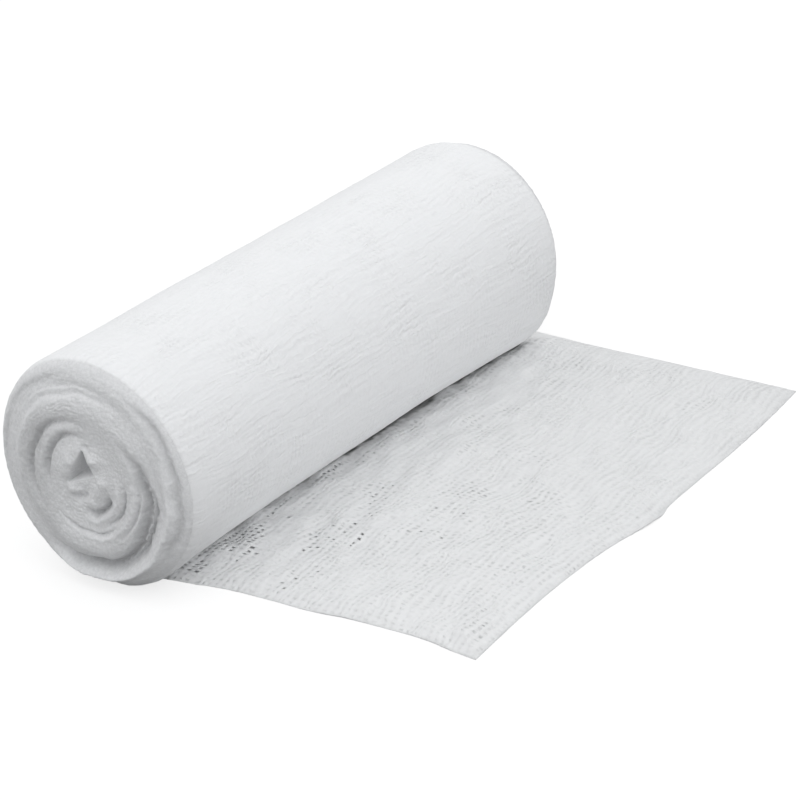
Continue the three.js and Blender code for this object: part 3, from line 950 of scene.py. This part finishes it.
def makePly(ply):
    # a closed sheet on the yarns' own lattice, with real holes between them here and there
    part = looseEnd
    rng = np.random.default_rng(ply["seed"])
    seed = 10 * ply["seed"]
    own = {
        "y": wavyField(seed, 5, 14, 40, (1.6, 1, 1)), "x": wavyField(seed + 1, 6, 16, 40),
        "pucker": wavyField(seed + 2, 3.0, 8, 50), "share": ply["own"],
    }
    varies = wavyField(seed + 3, 2.0, 7, 50, (1.6, 1, 1))
    cellsX, cellsY = part["warps"], part["wefts"]
    placeX = np.append(np.repeat(np.arange(cellsX), 3), cellsX)
    placeY = np.append(np.repeat(np.arange(cellsY), 3), cellsY)
    partX = np.append(np.tile([0, 1, -1], cellsX), 0)
    partY = np.append(np.tile([0, 1, -1], cellsY), 0)
    cellX, cellY = np.meshgrid(placeX, placeY, indexing="ij")
    sideX, sideY = np.meshgrid(partX, partY, indexing="ij")

    # how far each cell between the yarns is open
    middleX, middleY = np.meshgrid(np.arange(cellsX) + 0.5, np.arange(cellsY) + 0.5, indexing="ij")
    flatX, flatY = laidPlace(middleX / cellsX, middleY / cellsY)
    lucky = np.random.default_rng(77).normal(size=middleX.shape)
    patch = openness(flatX, flatY)
    chance = part["holeVaries"] * varies(inSpace(flatX, flatY)) + part["holeChance"] * lucky
    chance = chance + part["ownChance"] * rng.normal(size=patch.shape)
    hole = part["holeSize"] * np.maximum(patch - ply["openFrom"], 0) / (1 - ply["openFrom"])
    hole = hole + chance * easeBetween(0.0, 0.45, patch)
    cellHole = hole[np.minimum(cellX, cellsX - 1), np.minimum(cellY, cellsY - 1)]
    half = 0.5 * (1 - np.clip(cellHole, part["smallest"], part["largest"]))
    latticeX = cellX + np.where(sideX == 1, half, 0) + np.where(sideX == -1, 1 - half, 0)
    latticeY = cellY + np.where(sideY == 1, half, 0) + np.where(sideY == -1, 1 - half, 0)
    top = clothPlace(latticeX / cellsX, latticeY / cellsY, ply["level"], own)
    odd = np.where((cellX + cellY) % 2, 1, -1)
    ridge = part["weftRidge"] * (sideY == 0) + part["warpRidge"] * (sideX == 0)
    over = 1 * ((sideY == 0) & (sideX != 0)) - 1 * ((sideX == 0) & (sideY != 0))
    ridge = ridge + part["crossing"] * odd * over
    top[..., 2] += ridge * easeBetween(0.3, 0.9, top[..., 2])
    bottom = top - np.array([0, 0, part["thickness"]])
    bottom[..., 2] = np.maximum(bottom[..., 2], 0.02)
    top[..., 2] = np.maximum(top[..., 2], bottom[..., 2] + 0.05)
    isOpen = hole > part["least"]
    isOpen[:2], isOpen[-2:], isOpen[:, -2:] = False, False, False
    solid = np.full((cellsX * 3, cellsY * 3), True)
    solid[1::3, 1::3] = ~isOpen
    lattice = np.stack([latticeX, latticeY], -1)
    flatX, flatY = laidPlace(latticeX / cellsX, latticeY / cellsY)
    # how open the cloth looks, which the material paints as shade in its gaps; towards the left a little
    # everywhere
    gappy = np.maximum(openness(flatX, flatY), part["leftOpen"] * easeBetween(25, -15, flatX))
    # painted light and shade: the laid cloth is painted darker further out from the roll and to the right,
    # and lighter near the seam towards the left
    x, y = top[..., 0], top[..., 1]
    outwardShade = part["outwardShade"] * (1 + part["outwardShadeByX"] * x) * easeBetween(-9, -27, y)
    outwardShade = outwardShade - part["nearBright"] * easeBetween(-18, -11, y) * easeBetween(10, -10, x)
    shade = seamShade(x, y)
    kept = {"open": np.minimum(gappy, part["mostOpen"]), "paintedShading": shade + outwardShade * (1 - shade)}
    mesh = wovenSheet(ply["name"], top * mm, bottom * mm, lattice, solid, kept)
    return addPiece(ply["name"], mesh, laidGauze, "loose_end")


lowerPly, upperPly = [makePly(ply) for ply in loosePlies]
print("loose end made:", len(lowerPly.data.polygons), len(upperPly.data.polygons), "faces")


floorLook = {
    "size": 6.0, "colour": 0.32, "glow": 0.74,     # the glow is seen by the camera alone
    "darkX": (-0.046, 0.060), "darkY": (-0.067, 0.010), "edge": 0.003,     # no glow there, under the cloth
}


def makeFloor():
    mesh = bmesh.new()
    bmesh.ops.create_grid(mesh, x_segments=1, y_segments=1, size=floorLook["size"])
    made = bpy.data.meshes.new("floor")
    mesh.to_mesh(made)
    mesh.free()
    floor = addObject("floor", made)
    material = bpy.data.materials.new("paleFloor")
    material.use_nodes = True
    tree = material.node_tree
    nodes, links = tree.nodes, tree.links
    shader = nodes["Principled BSDF"]
    shader.inputs["Base Color"].default_value = (*[floorLook["colour"]] * 3, 1)
    shader.inputs["Roughness"].default_value = 1.0
    shader.inputs["Specular IOR Level"].default_value = 0.0
    apart = nodes.new("ShaderNodeSeparateXYZ")
    links.new(nodes.new("ShaderNodeTexCoord").outputs["Object"], apart.inputs[0])
    # no glow under the cloth: a darker patch of floor, painted shade seen through the cloth's holes
    outside = []
    for axis, name in ((0, "darkX"), (1, "darkY")):
        low, high = floorLook[name]
        away = addMath(tree, "SUBTRACT", apart.outputs[axis], (low + high) / 2)
        reach = (high - low) / 2
        away = addMath(tree, "ABSOLUTE", away)
        outside.append(addRange(tree, away, reach - floorLook["edge"], reach, 0.0))
    level = addMath(tree, "MULTIPLY", addMath(tree, "MAXIMUM", *outside), floorLook["glow"])
    glow = nodes.new("ShaderNodeEmission")
    links.new(level, glow.inputs["Strength"])
    empty = nodes.new("ShaderNodeEmission")
    empty.inputs["Strength"].default_value = 0.0
    seen = nodes.new("ShaderNodeLightPath").outputs["Is Camera Ray"]
    add = nodes.new("ShaderNodeAddShader")
    links.new(shader.outputs[0], add.inputs[0])
    links.new(mixShaders(tree, seen, empty.outputs[0], glow.outputs[0]), add.inputs[1])
    links.new(add.outputs[0], nodes["Material Output"].inputs["Surface"])
    made.materials.append(material)


def makeWorld():
    world = bpy.data.worlds.new("studio")
    bpy.context.scene.world = world
    world.use_nodes = True
    tree = world.node_tree
    nodes = tree.nodes
    ambient = nodes["Background"]
    ambient.inputs["Color"].default_value = (0.98, 0.99, 1.0, 1)
    ambient.inputs["Strength"].default_value = 0.82
    white = nodes.new("ShaderNodeBackground")
    white.inputs["Strength"].default_value = 1.0
    seen = nodes.new("ShaderNodeLightPath").outputs
    every = addMath(tree, "MAXIMUM", seen["Is Camera Ray"], seen["Is Glossy Ray"])
    every = addMath(tree, "MAXIMUM", every, seen["Is Transmission Ray"])
    mixed = mixShaders(tree, every, ambient.outputs[0], white.outputs[0])
    tree.links.new(mixed, nodes["World Output"].inputs["Surface"])


lampTable = namedRows(
    ("name", "towards", "energy", "softness"),
    ("key", (-0.59, -0.56, 1.0), 0.57, 70),
    ("overhead", (0.0, 0.0, 1.0), 0.15, 70),
)


def makeLamp(name, towards, energy, softness):
    light = bpy.data.lights.new(name, "SUN")
    light.energy = energy
    light.angle = math.radians(softness)
    lamp = addObject(name, light)
    lamp.rotation_mode = "QUATERNION"
    lamp.rotation_quaternion = Vector(towards).to_track_quat("Z", "Y")


cameraView = {
    "lens": 121.4, "roll": -5, "place": (-0.3503, -0.2862, 0.2190), "aim": (0.00461, -0.01889, 0.01228),
}


def makeCamera():
    camera = bpy.data.cameras.new("camera")
    camera.lens = cameraView["lens"]
    camera.sensor_width = 36
    camera.clip_start = 0.01
    camera.clip_end = 20
    holder = addObject("camera", camera)
    place = Vector(cameraView["place"])
    turned = (Vector(cameraView["aim"]) - place).to_track_quat("-Z", "Y").to_matrix().to_4x4()
    rolled = Matrix.Rotation(math.radians(cameraView["roll"]), 4, "Z")
    holder.matrix_world = Matrix.Translation(place) @ turned @ rolled
    bpy.context.scene.camera = holder


makeFloor()
makeWorld()
for lamp in lampTable:
    makeLamp(**lamp)
makeCamera()
bpy.context.scene.view_settings.view_transform = "Standard"
print("floor, light and camera made")
